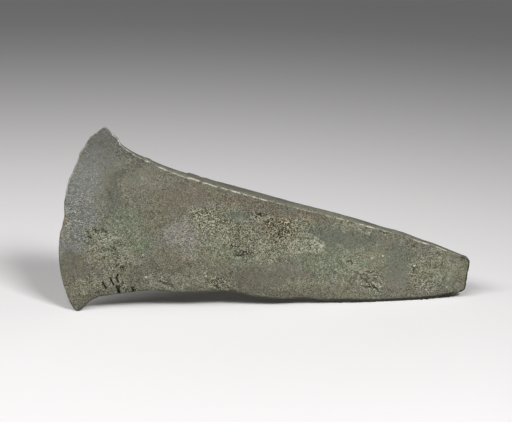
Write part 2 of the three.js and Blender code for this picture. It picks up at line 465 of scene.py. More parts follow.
# How much of the upper narrow side is painted as pale as the near face, as painted light, as pixel
# columns and shares of its width.
PALE_SIDE_SHARES = [
    (108, 0.35), (150, 0.5), (184, 0.5), (191, 0), (240, 0.1), (283, 0.2), (300, 0.85),
    (350, 0.8), (358, 0.35), (374, 0.35), (384, 0.85), (410, 0.8), (418, 0.3), (466, 0.4),
]
MIDDLE_ROW = 270
# The border of that part: the size and the strength of its raggedness, and how soft it is.
BORDER_SIZE = 1.4 * MM
BORDER_ROUGHNESS = 0.25
BORDER_RANGE = (0.15, -0.15)
# How pale that part is painted, and how much of the narrow side's painted light grey it loses.
PALE_SIDE_COVER = 0.9
PALE_SIDE_LOSS = 0.6
# Dents and bumps of the outline: the middle of each in pixels, its reach, and how far it moves
# the outline to the right and down.
DENTS = [
    (79, 144, 12, 1.0, 0.2),
    (71, 163, 15, 2.2, 0),
    (64, 202, 5, -0.5, 0),
    (60, 217, 12, 1.4, 0),
    (60, 227, 6, 0.9, 0),
    (97, 131, 12, 0, 1.1),
    (115, 138, 9, 2.6, 0),
    (109, 132, 6, 1.2, 0),
    (69, 173, 7, 0.9, 0),
    (76, 157, 4, 0.8, 0),
    (150, 159, 6, 0, -0.9),
    (189, 174, 3, 0, -0.9),
    (198, 177, 5, 0, -1.1),
    (403, 233, 22, 0, -1.4),
    (193, 176, 5, 0, -1.3),
    (207, 180, 7, 0, -0.6),
    (300, 207, 130, 0, -0.5),
    (442, 248, 40, 0, -0.8),
]
# The rim of the cutting edge glints between these two rows, read at this column.
RIM_ROWS = (138, 200)
RIM_COLUMN = IMAGE_WIDTH / 6
RIM_FADE = 4 * MM
RIM_BRIGHTNESS = 0.5
# Single pale grains, as pixels.
PALE_GRAINS = [
    (205, 273), (206, 276), (143, 255), (146, 277), (191, 239),
    (447, 287), (372, 258), (383, 256), (321, 246), (319, 250),
]
PALE_GRAIN_REACH = 0.9

# Colours as they look in a picture, from 0 to 255.
BRONZE_GREY = (105, 103, 91)
BRONZE_OLIVE = (105, 104, 86)
GREEN = (99, 110, 89)
BROWN = (99, 92, 80)
LAVENDER = (122, 118, 113)
SLATE = (89, 94, 83)
BLADE_GREY = (108, 110, 106)
# Painted shade on the step behind the blade, and the dark tone of the blade's upper tip.
SHADED_STEP_GREY = (84, 84, 77)
PALE_CRUST = (149, 149, 129)
CRUMB = (180, 180, 162)
OCHRE = (148, 125, 94)
# Darker along the lower arris, on the lower narrow sides and in dark spots, two of which are
# painted shade.
DARK_TONE_AND_SHADE = (83, 81, 69)
# Dark corrosion in pits, with painted shade in the hollows.
PIT_DARK_AND_SHADE = (43, 39, 24)
CRACK_BLACK = (18, 16, 10)
# The upper narrow side painted paler than the face, as painted light.
UPPER_SIDE_PAINTED_LIGHT = (133, 131, 119)
# Dark lines round the butt, and painted shade along the lower arris.
LINE_AND_SHADE_DARK = (38, 38, 34)
# Pale worn metal, and painted highlights and glints.
PALE_METAL_AND_GLINT = (236, 228, 216)
FLOOR_PALE = (249, 247, 247)
# What a dark and a bright grain of patina multiply the colour by, and a warm and a cool one.
GRAIN_DARK = (0.165, 0.15, 0.09, 1)
GRAIN_BRIGHT = (1.83, 1.88, 2, 1)
WARM_HUE = (1.08, 0.98, 0.9, 1)
COOL_HUE = (0.94, 1.02, 1.04, 1)
HUE_SHARE = 0.8

# The weights that the mesh keeps at its points, three under each name.
WEIGHTS = {
    "tints": ("green", "brown", "lavender"),
    "shades": ("slate", "pale", "ochre"),
    "zones": ("blade", "side", "step"),
    "relief": ("pit", "rough", "worn"),
    "details": ("low", "grains", "speckled"),
    "lines": ("lines", "cracks", "crust"),
}
# The patches in the order in which they are laid: weight, colour and how much each hides of
# what lies below. Most are patina; the one on the step behind the blade is painted shade. All but
# the blade's two break up into grains at their borders.
PATCHES = [
    ("green", GREEN, 0.75),
    ("brown", BROWN, 0.8),
    ("slate", SLATE, 0.85),
    ("lavender", LAVENDER, 0.85),
    ("blade", BLADE_GREY, 0.85),
    ("pale", PALE_CRUST, 0.8),
    ("ochre", OCHRE, 0.5),
    ("step", SHADED_STEP_GREY, 0.75),
    ("low", DARK_TONE_AND_SHADE, 0.65),
    ("crust", PALE_CRUST, 0.54),
]
SMOOTH_PATCHES = ("blade", "step")
# How ragged those borders are, and from which value a patch shows and where it is full.
RAGGEDNESS = 1.25
COVER_RANGE = (0.1, 0.85)

# The lumps of the patina's noises, and how rough their finer octaves are.
DRIFT_SIZE = 9 * MM
CLOUD_SIZE = 2.4 * MM
GRIT_SIZE = 0.22 * MM
SOFT_GRIT_SIZE = 0.42 * MM
DASH_SIZE = 0.3 * MM
SLASH_SIZE = 0.32 * MM
HUE_SIZE = 0.8 * MM
CELL_SIZE = 0.3 * MM
NOISE_ROUGHNESS = 0.6
CLOUD_ROUGHNESS = 0.65
# Noises of one kind are taken this far apart, so that they don't agree.
SOFT_GRIT_SHIFT = 70 * MM
SLASH_SHIFT = 40 * MM
HUE_SHIFT = 20 * MM
# Fine pits are drawn out in two directions.
DASH_STRETCH = (2.2, 1, 1)
DASH_TURN = math.radians(18)
SLASH_STRETCH = (1.8, 1, 1)
SLASH_TURN = math.radians(-35)

# How a noise or a weight from the first to the second number turns into another value, from 0
# to 1 or from the third to the fourth number.
DRIFT_RANGE = (0.35, 0.65)
SOFT_RANGE = (0.25, 0.75, 0.38, 0.62)
HARD_RANGE = (0.28, 0.7)
HUE_RANGE = (0.3, 0.7)
HOLE_RANGE = (0.39, 0.32)
HOLE_ROUGHNESS = (0.2, 0.8, 0.1, 1)
CRUMB_RANGE = (0.565, 0.665)
CRUMB_ROUGHNESS = (0.2, 0.9, 0.05, 0.82)
SPECK_RANGE = (0.88, 0.96)
SIDE_COVER_RANGE = (0.35, 0.65, 0.85, 0.45)
WEAR_GLINT_COVER_RANGE = (0.35, 0.55, 0.3, 1)
DULLNESS_RANGE = (0.3, 0.7, 0.5, 0.74)
METAL_RANGE = (0, 1, 0.12, 0.4)
BUMP_RANGE = (0, 1, 0.5, 1.5)
# How much of the hard grain shows on a smooth skin, and how much more on a rough and on a
# crusted one.
LEAST_HARSHNESS = 0.12
ROUGH_HARSHNESS = 0.9
CRUST_HARSHNESS = 0.08
# How far crust opens the fine pits, and how much fewer of them slant.
CRUST_OPENING = 0.085
SLASH_LAG = 0.02
CRUMB_BLEND = 0.38
LEAST_GLITTER = 0.05
BLADE_GLITTER = 0.26
PALE_GRAIN_COVER = 0.6
SHINE = 0.2
BUMP_HEIGHT = 0.18 * MM

# Shares of the floor's pale colour, by distance from the middle of its painted pool of light: the
# floor is painted darker away from it, as painted shade where the light falls off.
FLOOR_PAINTED_FALLOFF = [
    (0, 0.975), (0.06, 0.95), (0.09, 0.94), (0.12, 0.94), (0.165, 0.95), (0.206, 0.91),
    (0.254, 0.838), (0.283, 0.78), (0.309, 0.73), (0.356, 0.635), (0.402, 0.545),
    (0.45, 0.462), (0.503, 0.38), (0.562, 0.318), (0.627, 0.3), (1, 0.4),
]
FLOOR_RADIUS = 4.0
FLOOR_SIDES = 96
FLOOR_ROUGHNESS = 0.9
FLOOR_SHINE = 0.1
LIGHT_POOL_SHARES = (-0.17, 0.5, 0)
LIGHT_POOL_FORWARD = 50 * MM

# Soft lights: the way to each from the model, its width, its height and its power.
LIGHT_DISTANCE = 1.3
KEY_LIGHT = (Vector((0.37, -1, 0.87)), 0.36, 0.26, 13)
SIDE_LIGHT = (Vector((-0.9, -1, 1.25)), 1.2, 0.4, 11.6)
BACK_LIGHT = (Vector((-0.3, 1, 0.036)), 1.1, 0.06, 10)
WORLD_STRENGTH = 0.02


def smoothstep(low, high, value):
    """A share that grows softly from 0 at the low value to 1 at the high one."""
    share = np.clip((value - low) / (high - low), 0, 1)
    return share * share * (3 - 2 * share)


def linear(colour):
    """A colour from 0 to 255 as the linear light that a shader takes."""
    shares = [part / 255 for part in colour]
    powers = [s / 12.92 if s < 0.04045 else ((s + 0.055) / 1.055) ** 2.4 for s in shares]
    return (*powers, 1)


def grain(points, size, seed, octaves=1, stretch=(1, 1, 1)):
    """Smooth noise from about -1 to 1 at each point, in lumps of about that size."""
    places = (points / (size * np.array(stretch)) + SEED_SHIFT * seed).tolist()
    return np.array([noise.fractal(place, OCTAVE_FADE, OCTAVE_SHRINK, octaves) for place in places])


def box_place(shares):
    """A point given as shares of the model's box."""
    return Vector(low + share * size for low, share, size in zip(cad_low, shares, cad_size))


def make_camera():
    back = Vector((
        math.sin(CAMERA_AZIMUTH) * math.cos(CAMERA_ELEVATION),
        -math.cos(CAMERA_AZIMUTH) * math.cos(CAMERA_ELEVATION),
        math.sin(CAMERA_ELEVATION),
    ))
    data = bpy.data.cameras.new("camera")
    data.lens = LENS_MM
    data.sensor_width = SENSOR_MM
    data.sensor_fit = "HORIZONTAL"
    data.dof.use_dof = False
    camera = bpy.data.objects.new("camera", data)
    bpy.context.scene.collection.objects.link(camera)
    camera.location = box_place(AIM_SHARES) + back * CAMERA_DISTANCE
    camera.rotation_mode = "QUATERNION"
    camera.rotation_quaternion = back.to_track_quat("Z", "Y")
    bpy.context.scene.camera = camera
    bpy.context.view_layer.update()
    return camera


camera = make_camera()
PIXEL = CAMERA_DISTANCE * SENSOR_MM / (LENS_MM * IMAGE_WIDTH)


def clean_bmesh(mesh):
    """The mesh's points and faces alone, welded, with its triangles joined to quads."""
    bm = bmesh.new()
    corners = [bm.verts.new(vertex.co) for vertex in mesh.vertices]
    for polygon in mesh.polygons:
        bm.faces.new([corners[i] for i in polygon.vertices])
    bmesh.ops.remove_doubles(bm, verts=bm.verts, dist=WELD)
    bmesh.ops.join_triangles(
        bm,
        faces=bm.faces,
        angle_face_threshold=JOIN_ANGLE,
        angle_shape_threshold=math.pi,
    )
    return bm


base = clean_bmesh(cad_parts["axe_head"].data)
base_tree = BVHTree.FromBMesh(base)


def on_face(pixel):
    """The point of the model that a pixel of the photograph shows, or the nearest one."""
    across = (pixel[0] - IMAGE_WIDTH / 2) * PIXEL / CAMERA_DISTANCE
    up = (IMAGE_HEIGHT / 2 - pixel[1]) * PIXEL / CAMERA_DISTANCE
    direction = camera.matrix_world.to_3x3() @ Vector((across, up, -1))
    hit = base_tree.ray_cast(camera.location, direction.normalized())[0]
    if hit is None:
        passing = camera.location - direction * camera.location.y / direction.y
        hit = base_tree.find_nearest(passing)[0]
    return hit


def arris_trees():
    """Two search trees over the arrises: the cutting edge's, and all the others'."""
    samples = {True: [], False: []}
    for edge in base.edges:
        if edge.calc_face_angle(0) < ARRIS_ANGLE:
            continue
        start, end = (vertex.co for vertex in edge.verts)
        cutting = max(abs(start.y), abs(end.y)) < CUTTING_EDGE_HALF
        count = max(2, math.ceil((end - start).length / ARRIS_SAMPLE))
        samples[cutting] += [start.lerp(end, i / count) for i in range(count)]
    trees = []
    for cutting in (True, False):
        tree = kdtree.KDTree(len(samples[cutting]))
        for i, point in enumerate(samples[cutting]):
            tree.insert(point, i)
        tree.balance()
        trees.append(tree)
    return trees


edge_tree, arris_tree = arris_trees()


def nearest(tree, points):
    """The tree's nearest place to each point, and how far away it is."""
    found = [tree.find(point) for point in points.tolist()]
    places = np.array([tuple(place) for place, _, _ in found])
    return places, np.array([away for _, _, away in found])


def spots(points, marks, warp=0):
    """How strongly each point lies in any of the marked spots."""
    weight = np.zeros(len(points))
    for x, y, reach_across, reach_up, strength in marks:
        middle = on_face((x, y))
        across = (points[:, 0] + warp - middle.x) / (reach_across * PIXEL)
        up = (points[:, 2] - warp - middle.z) / (reach_up * PIXEL)
        inside = smoothstep(*SPOT_RIM_SHARES, np.hypot(across, up))
        weight = np.maximum(weight, strength * inside)
    return weight


def grooves(points, runs, half_width):
    """How deep in any of the marked grooves each point lies, from 0 to their depth share."""
    depth = np.zeros(len(points))
    flat = points[:, [0, 2]]
    for pixels, share in runs:
        places = [np.array(on_face(pixel))[[0, 2]] for pixel in pixels]
        for start, end in zip(places, places[1:]):
            run = end - start
            along = np.clip((flat - start) @ run / (run @ run), 0, 1)
            away = np.hypot(*(flat - start - along[:, None] * run).T)
            inside = smoothstep(*GROOVE_RIM_SHARES, away / half_width)
            depth = np.maximum(depth, share * inside)
    return depth


def wild(points, strength, size, seed, start, octaves):
    """Patches strewn by noise, for what isn't read off the photograph."""
    return strength * smoothstep(start, start + PATCH_RISE, grain(points, size, seed, octaves))


def wanted_step(points):
    """The edge length that the skin wants at each point: fine where it is rough."""
    front = points[:, 1] < 0
    rough = front * spots(points, CRUST_SPOTS) + ~front * wild(points, *WILD_CRUST)
    cracked = front * grooves(points, CRACKS, 4 * CRACK_HALF_WIDTH)
    away = np.minimum(nearest(arris_tree, points)[1], nearest(edge_tree, points)[1])
    at_arris = smoothstep(3 * ARRIS_REACH, ARRIS_REACH, away)
    share = np.clip(np.maximum.reduce([rough, cracked, at_arris]), 0, 1)
    return PLAIN_STEP + (FINE_STEP - PLAIN_STEP) * share


def smoothed(bm):
    """The base mesh after subdivision, with its arrises kept."""
    crease = bm.edges.layers.float.new("crease_edge")
    for edge in bm.edges:
        if edge.calc_face_angle(0) > ARRIS_ANGLE:
            edge[crease] = 1
    mesh = bpy.data.meshes.new("axe_skin_base")
    bm.to_mesh(mesh)
    carrier = bpy.data.objects.new("axe_skin_base", mesh)
    bpy.context.scene.collection.objects.link(carrier)
    modifier = carrier.modifiers.new("smooth", "SUBSURF")
    modifier.levels = SMOOTHING_LEVELS
    evaluated = carrier.evaluated_get(bpy.context.evaluated_depsgraph_get())
    made = bmesh.new()
    made.from_mesh(evaluated.to_mesh())
    bpy.data.objects.remove(carrier)
    bpy.data.meshes.remove(mesh)
    return made


def read(items, name, width, kind=np.float32):
    """One property of all of a mesh's points or edges, as an array."""
    values = np.empty(len(items) * width, kind)
    items.foreach_get(name, values)
    return values.reshape(-1, width)


def dice(bm):
    """Splits the edges that are longer than the skin wants there, round after round."""
    probe = bpy.data.meshes.new("probe")
    bmesh.ops.triangulate(bm, faces=bm.faces)
    for _ in range(DICING_ROUNDS):
        bm.to_mesh(probe)
        ends = read(probe.vertices, "co", 3)[read(probe.edges, "vertices", 2, np.int32)]
        lengths = np.linalg.norm(ends[:, 0] - ends[:, 1], axis=1)
        too_long = lengths > PLAIN_STEP
        unsure = (lengths > FINE_STEP) & ~too_long
        middles = ends[unsure].mean(axis=1).astype(float)
        too_long[unsure] = lengths[unsure] > wanted_step(middles)
        if not too_long.any():
            break
        bm.edges.ensure_lookup_table()
        chosen = [bm.edges[i] for i in np.flatnonzero(too_long).tolist()]
        bmesh.ops.subdivide_edges(bm, edges=chosen, cuts=1)
        bmesh.ops.triangulate(bm, faces=[face for face in bm.faces if len(face.verts) > 3])
    bpy.data.meshes.remove(probe)


def find_regions(points, normals):
    """Which part of the axe each point belongs to, and how far it is from the arrises."""
    at = SimpleNamespace()
    at.front = smoothstep(*FACE_LEAN, -normals[:, 1])
    at.back = smoothstep(*FACE_LEAN, normals[:, 1])
    at.side = 1 - at.front - at.back
    at.rest = 1 - at.front
    at.upper = smoothstep(*UPPER_LEAN, normals[:, 2])
    at.near_half = points[:, 1] < 0
    at.height_up = points[:, 2] - cad_low.z
    at.before_butt = smoothstep(BUTT_REACH, 2 * BUTT_REACH, cad_high.x - points[:, 0])
    at.foot = smoothstep(FOOT_LINE_START, FOOT_LINE_FULL, points[:, 0])
    at.from_edge = nearest(edge_tree, points)[1]
    arris_places, from_arris = nearest(arris_tree, points)
    at.half_thickness = np.abs(arris_places[:, 1])
    at.butt_arris = arris_places[:, 0] > cad_high.x - BUTT_REACH
    at.low_arris = (arris_places[:, 2] < LOW_ARRIS_TOP) & ~at.butt_arris
    at.from_low = np.where(at.low_arris, from_arris, LOW_REACH)
    at.from_arris = np.minimum(from_arris, at.from_edge)
    at.at_arris = smoothstep(ARRIS_REACH, 0, at.from_arris)
    at.body = smoothstep(0, BLADE_REACH, at.from_edge)
    at.warp = WARP_REACH * grain(points, WARP_SIZE, WARP_SEED, 3)
    return at


def roughness(points, at):
    """How rough and how crusted the skin is at each point."""
    calm = at.front * spots(points, CALM_SPOTS, at.warp)
    crust = at.front * spots(points, CRUST_SPOTS, at.warp) * (1 - CALM_LOSS * calm)
    crust += (at.back + SIDE_CRUST_SHARE * at.side) * wild(points, *WILD_CRUST)
    crust = np.clip(crust, 0, 1)
    return np.maximum(PLAIN_ROUGHNESS * (1 - calm), crust), crust


def left_at_edge(at, share):
    """A share at the cutting edge that grows to the whole over the blade."""
    return share + (1 - share) * at.body


def find_marks(points, at, crust):
    """How strongly each kind of hollow and lump shows at each point."""
    lumps = grain(points, CRUST_SIZE, CRUST_SEED, 2, CRUST_STRETCH)
    winding = np.abs(grain(points, CREVICE_SIZE, CREVICE_SEED, 3, CREVICE_STRETCH))
    broken = smoothstep(*BREAK_RANGE, grain(points, 2 * CREVICE_SIZE, BREAK_SEED, 2))
    torn = CRACK_HALF_WIDTH * (1 + TEAR_SHARE * grain(points, TEAR_SIZE, TEAR_SEED, 2))
    marks = SimpleNamespace()
    marks.crust_pits = smoothstep(*PIT_RANGE, -lumps) * crust
    marks.crust_lumps = smoothstep(*LUMP_RANGE, lumps) * crust
    marks.crevices = smoothstep(*CREVICE_RANGE, winding) * broken
    marks.crevices *= smoothstep(*CREVICED_CRUST, crust)
    marks.pocks = smoothstep(*POCK_RANGE, grain(points, POCK_SIZE, POCK_SEED, 2))
    marks.pocks *= left_at_edge(at, EDGE_POCK_SHARE)
    marks.ledges = smoothstep(*LEDGE_RANGE, grain(points, LEDGE_SIZE, LEDGE_SEED, 4))
    marks.nicks = smoothstep(*NICK_RANGE, grain(points, NICK_SIZE, NICK_SEED, 2)) * at.at_arris
    marks.burrs = smoothstep(*BURR_RANGE, grain(points, BURR_SIZE, BURR_SEED, 2))
    marks.burrs *= at.at_arris * at.upper
    marks.cracks = at.front * grooves(points, CRACKS, torn)
    return marks


def relief_height(points, at, marks):
    """How far each point moves outwards."""
    height = SWELL_HEIGHT * grain(points, SWELL_SIZE, SWELL_SEED) * at.body * (1 - at.side)
    height += HAMMER_HEIGHT * grain(points, HAMMER_SIZE, HAMMER_SEED, 2) * at.body
    height += LEDGE_HEIGHT * (marks.ledges - 0.5) * at.body * (1 - at.at_arris)
    height += CRUST_GRAIN_HEIGHT * marks.crust_lumps
    height += BURR_HEIGHT * marks.burrs
    height -= CRUST_PIT_DEPTH * marks.crust_pits * left_at_edge(at, EDGE_PIT_SHARE)
    height -= CREVICE_DEPTH * marks.crevices * left_at_edge(at, EDGE_PIT_SHARE)
    height -= POCK_DEPTH * marks.pocks
    height -= CRACK_DEPTH * marks.cracks * left_at_edge(at, EDGE_CRACK_SHARE)
    height -= np.where(at.low_arris, LOW_NICK_DEPTH, NICK_DEPTH) * marks.nicks
    height -= ROUNDED_DEPTH * at.before_butt * smoothstep(ROUNDED_REACH, 0, at.from_low)
    return height


def dent_outline(points, moved):
    """Moves the points round each dent of the outline, and keeps all above the ground."""
    for x, y, reach, right, down in DENTS:
        middle = on_face((x, y))
        away = np.hypot(points[:, 0] - middle.x, points[:, 2] - middle.z)
        share = smoothstep(reach * PIXEL, 0, away)
        moved += share[:, None] * PIXEL * np.array((right, 0, -down))
    moved[:, 2] = np.maximum(moved[:, 2], cad_low.z)


def patches(points, at, marks, strewn):
    """Patches of one colour: marked ones on the near face, and strewn ones elsewhere."""
    return at.front * spots(points, marks, at.warp) + at.rest * wild(points, *strewn)


def blade_zones(at):
    """The hammered blade, and the painted shade on the band behind it, with the blade's dark upper
    tip.
    """
    behind = at.from_edge + at.warp
    blade = smoothstep(BLADE_REACH + BLADE_FADE, BLADE_REACH - BLADE_FADE, behind)
    blade *= (1 - at.side) * smoothstep(BLADE_LOWEST, BLADE_FULL, at.height_up + 2 * at.warp)
    step = smoothstep(STEP_REACH, 0, np.abs(behind - STEP_MIDDLE)) * (1 - at.side)
    step *= smoothstep(STEP_LOWEST, STEP_FULL, at.height_up + 2 * at.warp)
    tip = smoothstep(TIP_LOWEST, TIP_FULL, at.height_up + at.warp) * (1 - at.side)
    return blade, np.maximum(step, tip)


def darkening_and_shade(points, at):
    """How dark each point is: along the lower arris, on the narrow sides below it, and in the dark
    spots, two of which are painted shade.
    """
    wandering = at.from_low + DARKENING_WARP_SHARE * at.warp
    along = at.before_butt * (1 - FOOT_DARKENING_LOSS * at.foot) * smoothstep(LOW_REACH, 0, wandering)
    dark = at.front * spots(points, DARK_SPOTS, at.warp)
    below = at.side * (1 - at.upper) * at.before_butt
    return np.maximum.reduce([along, dark, below])


def dark_lines_and_shade(at):
    """The dark lines round the butt, and the painted shade along the lower arris."""
    butt = at.butt_arris * smoothstep(*BUTT_LINE_RIM_SHARES, at.from_arris / BUTT_LINE)
    butt *= BUTT_LINE_SHARE * (1 - BUTT_LINE_SIDE_LOSS * at.side)
    reach = THIN_LINE + (FOOT_LINE - THIN_LINE) * at.foot
    low = at.low_arris * smoothstep(*LOW_LINE_RIM_SHARES, at.from_low / reach)
    low *= THIN_LINE_SHARE + (FOOT_LINE_SHARE - THIN_LINE_SHARE) * at.foot
    low *= at.before_butt * (1 - LOW_LINE_SIDE_LOSS * at.side)
    return np.maximum(butt, low)


def worn_glinting_runs(points):
    """How brightly the near upper arris is worn and painted with a highlight at each point along
    the axe.
    """
    worn = np.zeros(len(points))
    for start, end, brightness in WORN_GLINTING_RUNS:
        x_start, x_end = on_face(start).x, on_face(end).x
        middle, half = (x_start + x_end) / 2, (x_end - x_start) / 2
        away = np.abs(points[:, 0] - middle) - half
        inside = smoothstep(WORN_GLINT_RUN_FADE, -WORN_GLINT_RUN_FADE, away)
        worn = np.maximum(worn, brightness * inside)
    return worn


def wear_and_glint(points, at):
    """How far each point is worn to pale metal or painted with a highlight, on the arrises and on
    the cutting edge's rim.
    """
    near_arris = smoothstep(*WEAR_GLINT_RIM_SHARES, at.from_arris / ARRIS_REACH)
    scuffs = at.upper * wild(points, *SCUFFS)
    worn = at.near_half * np.maximum(worn_glinting_runs(points), scuffs)
    worn = np.clip(worn + at.rest * wild(points, *RUBS), 0, 1) * near_arris * ~at.low_arris
    rim_top, rim_bottom = (on_face((RIM_COLUMN, row)).z for row in RIM_ROWS)
    in_rim = smoothstep(rim_bottom, rim_bottom + RIM_FADE, points[:, 2])
    in_rim *= smoothstep(rim_top, rim_top - RIM_FADE, points[:, 2])
    rim = RIM_BRIGHTNESS * at.front * in_rim * smoothstep(ARRIS_REACH, 0, at.from_edge)
    return np.maximum(worn, rim)


def painted_light_side(points, at):
    """How much the upper narrow side is painted pale like the near face at each point, as painted
    light.
    """
    columns = [on_face((column, MIDDLE_ROW)).x for column, _ in PALE_SIDE_SHARES]
    start = np.interp(points[:, 0], columns, [share for _, share in PALE_SIDE_SHARES])
    across = (points[:, 1] / at.half_thickness + 1) / 2
    ragged = BORDER_ROUGHNESS * grain(points, BORDER_SIZE, BORDER_SEED, 3)
    return at.side * at.upper * smoothstep(*BORDER_RANGE, across + ragged - start)


def dress(mesh):
    """Moves the skin's points into their relief and stores what the material reads."""
    points = read(mesh.vertices, "co", 3).astype(float)
    normals = read(mesh.vertices, "normal", 3).astype(float)
    at = find_regions(points, normals)
    rough, crust = roughness(points, at)
    marks = find_marks(points, at, crust)
    moved = points + normals * relief_height(points, at, marks)[:, None]
    dent_outline(points, moved)
    mesh.vertices.foreach_set("co", moved.astype(np.float32).ravel())

    cracks = np.clip(marks.cracks, 0, 1)
    crack_rims = at.front * grooves(points, CRACKS, CRACK_RIM_REACH) * (1 - cracks)
    pit = CRUST_PIT_SHARE * marks.crust_pits + CREVICE_SHARE * marks.crevices
    pit += POCK_SHARE * marks.pocks
    # Painted light on the upper narrow side.
    painted_light_upper = painted_light_side(points, at)
    pale = patches(points, at, PALE_SPOTS, WILD_PALE)
    pale = np.maximum(pale, PALE_SIDE_COVER * painted_light_upper) + CRACK_RIM_SHARE * crack_rims
    blade, step = blade_zones(at)
    pale_grains = [(x, y, PALE_GRAIN_REACH, PALE_GRAIN_REACH, 1) for x, y in PALE_GRAINS]
    store(mesh, {
        "green": patches(points, at, GREEN_SPOTS, WILD_GREEN),
        "brown": patches(points, at, BROWN_SPOTS, WILD_BROWN),
        "lavender": at.front * spots(points, LAVENDER_SPOTS, at.warp),
        "slate": patches(points, at, SLATE_SPOTS, WILD_SLATE),
        "pale": np.clip(pale, 0, 1),
        "ochre": patches(points, at, OCHRE_SPOTS, WILD_OCHRE),
        "blade": blade,
        # The upper narrow side is painted paler, as painted light.
        "side": at.side * at.upper - PALE_SIDE_LOSS * painted_light_upper,
        # The band behind the blade is painted shade; the blade's upper tip has the same dark tone.
        "step": step,
        "pit": np.clip(pit, 0, 1),
        "rough": rough,
        "worn": wear_and_glint(points, at),
        "low": darkening_and_shade(points, at),
        "grains": at.front * spots(points, pale_grains),
        "speckled": at.front * spots(points, SPECK_SPOTS, at.warp) + UNSEEN_SPECKS * at.rest,
        # The line along the lower arris is painted shade.
        "lines": dark_lines_and_shade(at),
        "cracks": cracks,
        "crust": crust,
    })


def store(mesh, weights):
    """Keeps the weights on the mesh's points, three under each name."""
    for name, parts in WEIGHTS.items():
        values = np.stack([weights[part] for part in parts], axis=1)
        layer = mesh.attributes.new(name, "FLOAT_VECTOR", "POINT")
        layer.data.foreach_set("vector", values.astype(np.float32).ravel())


class Shader:
    """One material, with short calls that add its nodes and link them."""

    def __init__(self, name):
        self.material = bpy.data.materials.new(name)
        self.material.use_nodes = True
        self.tree = self.material.node_tree
        self.surface = self.tree.nodes["Principled BSDF"]

    def put(self, socket, value):
        if isinstance(value, bpy.types.NodeSocket):
            self.tree.links.new(value, socket)
        else:
            socket.default_value = value

    def node(self, kind, *values, **settings):
        made = self.tree.nodes.new(kind)
        for setting, value in settings.items():
            setattr(made, setting, value)
        for socket, value in zip(made.inputs, values):
            self.put(socket, value)
        return made

    def weights(self):
        """What the mesh keeps at its points, by name."""
        found = SimpleNamespace()
        for name, parts in WEIGHTS.items():
            stored = self.node("ShaderNodeAttribute", attribute_name=name)
            split = self.node("ShaderNodeSeparateXYZ", stored.outputs["Vector"])
            for part, output in zip(parts, split.outputs):
                setattr(found, part, output)
        return found

    def place(self, stretch=(1, 1, 1), turn=0, shift=0):
        """The point on the object in millimetres, turned, squeezed and moved along."""
        coordinates = self.node("ShaderNodeTexCoord").outputs["Object"]
        turned = self.node("ShaderNodeVectorRotate", coordinates, rotation_type="Y_AXIS")
        self.put(turned.inputs["Angle"], turn)
        factors = tuple(1 / (MM * part) for part in stretch)
        return self.node(
            "ShaderNodeVectorMath", turned.outputs[0], factors, (shift / MM,) * 3,
            operation="MULTIPLY_ADD",
        ).outputs[0]

    def noise(self, place, size, detail, roughness=NOISE_ROUGHNESS):
        made = self.node("ShaderNodeTexNoise")
        self.put(made.inputs["Vector"], place)
        self.put(made.inputs["Scale"], MM / size)
        self.put(made.inputs["Detail"], detail)
        self.put(made.inputs["Roughness"], roughness)
        return made.outputs[0]

    def cells(self, place, size):
        """A random value from 0 to 1 in each of many small cells."""
        made = self.node("ShaderNodeTexVoronoi")
        self.put(made.inputs["Vector"], place)
        self.put(made.inputs["Scale"], MM / size)
        return self.node("ShaderNodeSeparateXYZ", made.outputs["Color"]).outputs[0]

    def remap(self, value, low, high, to_low=0, to_high=1):
        """Moves a value smoothly from one range to another."""
        return self.node(
            "ShaderNodeMapRange", value, low, high, to_low, to_high,
            interpolation_type="SMOOTHSTEP",
        ).outputs[0]

    def math(self, operation, *values):
        return self.node("ShaderNodeMath", *values, operation=operation).outputs[0]

    def times(self, first, second):
        return self.math("MULTIPLY", first, second)

    def blend(self, share, first, second):
        """The first value at share 0, and the second at share 1."""
        made = self.node("ShaderNodeMix", share, data_type="FLOAT")
        self.put(made.inputs[2], first)
        self.put(made.inputs[3], second)
        return made.outputs[0]

    def mix(self, share, first, second):
        """The first colour at share 0, and the second at share 1."""
        made = self.node("ShaderNodeMix", share, data_type="RGBA")
        self.put(made.inputs[6], first)
        self.put(made.inputs[7], second)
        return made.outputs[2]

    def tinted(self, colour, second, share):
        """The colour times a second one, as far as the share goes."""
        made = self.node("ShaderNodeMix", share, data_type="RGBA", blend_type="MULTIPLY")
        self.put(made.inputs[6], colour)
        self.put(made.inputs[7], second)
        made.clamp_result = False
        return made.outputs[2]


def patina_noises(shader):
    """The noises that break up the patina, from the widest to the finest."""
    plain = shader.place()
    dash_place = shader.place(DASH_STRETCH, DASH_TURN)
    slash_place = shader.place(SLASH_STRETCH, SLASH_TURN, SLASH_SHIFT)
    made = SimpleNamespace()
    made.drift = shader.noise(plain, DRIFT_SIZE, 4)
    made.cloud = shader.noise(plain, CLOUD_SIZE, 3, CLOUD_ROUGHNESS)
    made.hue = shader.noise(shader.place(shift=HUE_SHIFT), HUE_SIZE, 2)
    made.soft_grit = shader.noise(shader.place(shift=SOFT_GRIT_SHIFT), SOFT_GRIT_SIZE, 2)
    made.slashes = shader.noise(slash_place, SLASH_SIZE, 1)
    made.dashes = shader.noise(dash_place, DASH_SIZE, 1)
    made.cells = shader.cells(plain, CELL_SIZE)
    made.grit = shader.noise(plain, GRIT_SIZE, 1)
    return made


